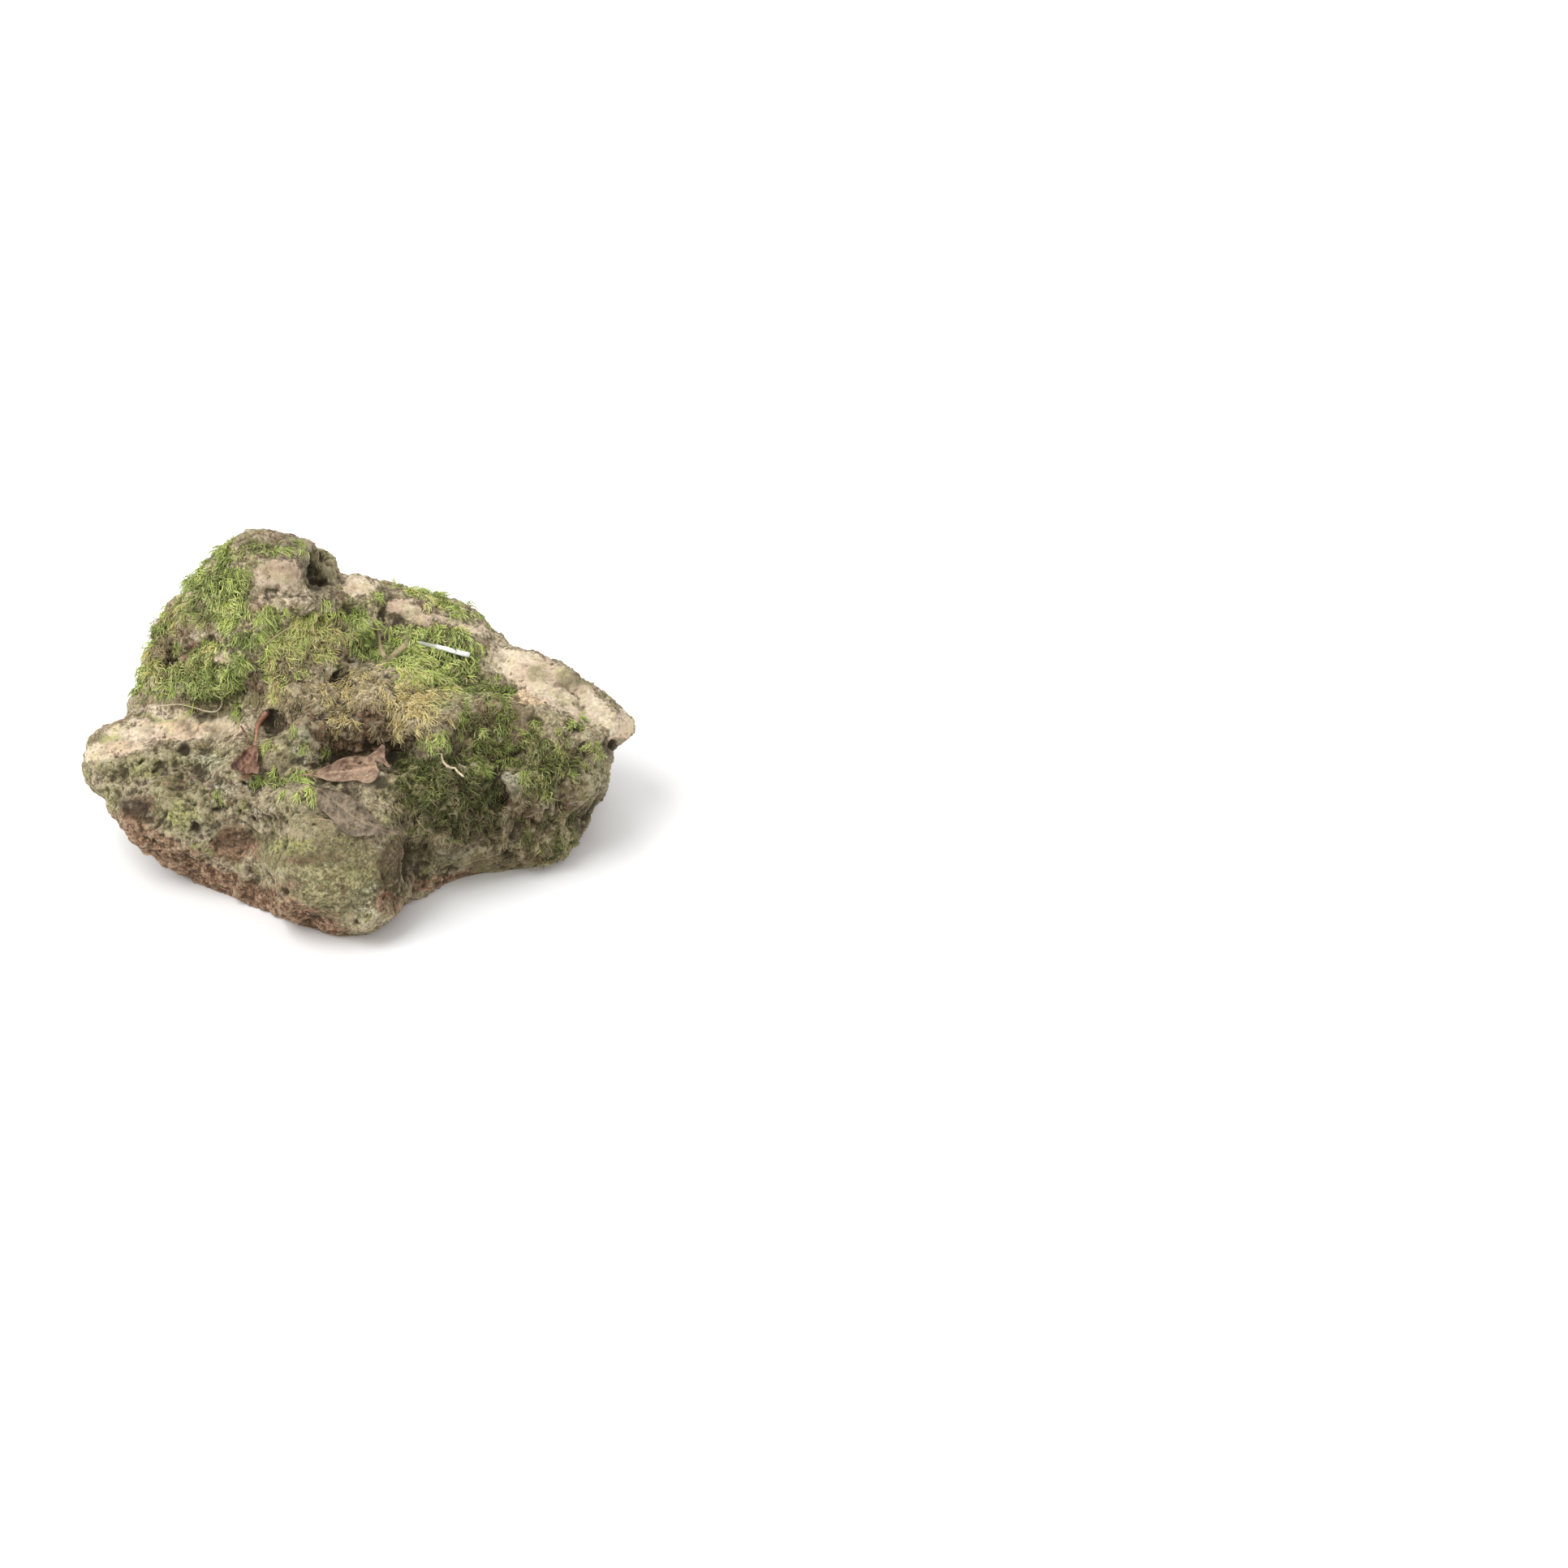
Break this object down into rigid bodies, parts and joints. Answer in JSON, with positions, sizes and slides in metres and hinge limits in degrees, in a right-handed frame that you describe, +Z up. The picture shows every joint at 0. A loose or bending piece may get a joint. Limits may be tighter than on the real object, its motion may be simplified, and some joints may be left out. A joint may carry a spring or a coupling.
{
  "type": "mossy rock",
  "caption": "Weathered limestone rock with a high peak and a low ridge, mats of green and golden moss, fallen leaves and dry stems on it.",
  "frame": {"origin": "under the middle of the part's box, on the flat face it stands on", "axes": "+Z up, +X to the stone's low right end, +Y to its back"},
  "size_m": [0.354, 0.2572, 0.2],
  "materials": {
    "limestone": "weathered, pitted limestone with green algae and brown soil",
    "green_moss": "feathery bright green moss",
    "dark_moss": "dark green moss in shade",
    "gold_moss": "dry golden moss",
    "tan_leaf": "dry pinkish tan leaf",
    "grey_leaf": "dry grey-brown leaf",
    "red_leaf": "curled rust-red leaf and its stalk",
    "straw": "dry straw-coloured stem",
    "bleached": "sun-bleached stem",
    "dead_wood": "dead twig"
  },
  "bodies": {
    "root": {"rock": "limestone", "moss_peak": "green_moss", "moss_outer_flank": "green_moss", "moss_brow": "green_moss", "moss_middle": "green_moss", "moss_saddle": "dark_moss", "moss_ridge": "green_moss", "moss_crest": "green_moss", "moss_gold": "gold_moss", "moss_gold_small": "gold_moss", "moss_right_high": "green_moss", "moss_right_low": "dark_moss", "moss_right_end": "green_moss", "moss_ledge": "green_moss", "moss_foot": "dark_moss", "moss_back_peak": "green_moss", "moss_back_ridge": "green_moss", "leaf_upper": "tan_leaf", "leaf_lower": "grey_leaf", "leaf_curled": "red_leaf", "leaf_stalk": "red_leaf", "grass_stem": "straw", "bleached_stem": "bleached", "snapped_twig": "dead_wood", "snapped_twig_end": "dead_wood", "fine_twig": "dead_wood", "pale_stalk": "straw"}
  },
  "joints": []
}
